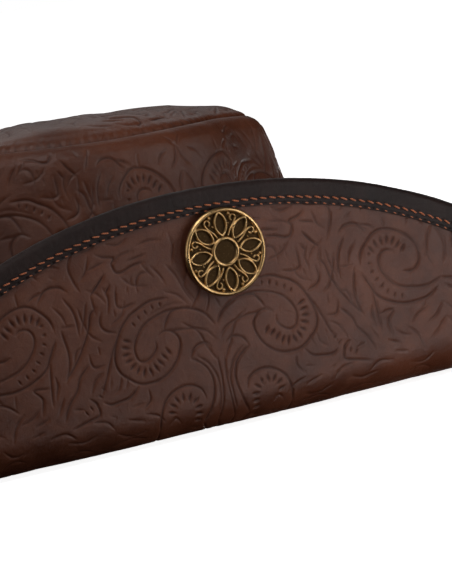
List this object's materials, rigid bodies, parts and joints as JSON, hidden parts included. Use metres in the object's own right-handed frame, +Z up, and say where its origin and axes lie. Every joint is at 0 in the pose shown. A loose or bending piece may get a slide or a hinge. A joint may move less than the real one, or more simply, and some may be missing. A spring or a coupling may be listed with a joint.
{
  "type": "tricorn pirate hat",
  "caption": "Embossed leather tricorn hat with a brim folded up on the sides and back, a dark bound and stitched edge, an oval padded crown and a round brass ornament on a flap.",
  "frame": {"origin": "centre of the head opening, in the plane that the brim rests on", "axes": "+Z up through the crown, -Y the wearer's front, +X the wearer's left; the ornament is on the front left flap"},
  "size_m": [0.331, 0.3338, 0.1192],
  "materials": {
    "embossed_leather": "embossed, satin, dark reddish brown with darker grooves",
    "stiffener_felt": "pressed stiffener, matt",
    "smooth_leather": "smooth grain, satin",
    "binding_leather": "fine grain, near black brown, low sheen",
    "stitch_thread": "twisted bonded thread, rust",
    "seam_thread": "twisted thread, dark brown",
    "wire_steel": "drawn wire",
    "lining_cloth": "satin weave lining",
    "sweatband_leather": "smooth, matt",
    "reed_plastic": "extruded cord",
    "bow_ribbon": "ribbed ribbon",
    "antique_brass": "cast, darkened in the recesses, rubbed bright on the edges",
    "washer_steel": "plain washer"
  },
  "bodies": {
    "hat": {"brim_outer_leather": "embossed_leather", "brim_stiffener": "stiffener_felt", "brim_inner_leather": "smooth_leather", "brim_binding": "binding_leather", "binding_thread_outer": "stitch_thread", "binding_thread_inner": "stitch_thread", "edge_wire": "wire_steel", "edge_wire_sleeve": "wire_steel", "crown_side": "embossed_leather", "crown_tip": "embossed_leather", "crown_rim_thread": "seam_thread", "crown_back_thread": "seam_thread", "crown_base_thread": "seam_thread", "lining_side": "lining_cloth", "lining_tip": "lining_cloth", "sweatband": "sweatband_leather", "sweatband_reed": "reed_plastic", "sweatband_thread": "stitch_thread", "sweatband_bow": "bow_ribbon"},
    "concho": {"concho_face": "antique_brass", "concho_washer": "washer_steel", "concho_screw": "antique_brass"}
  },
  "joints": [
    {"name": "concho_spin", "type": "hinge", "parent": "hat", "child": "concho", "pos_m": [0.09365, -0.05407, 0.063], "axis": [0.8648, -0.4993, -0.0523], "continuous": true}
  ]
}
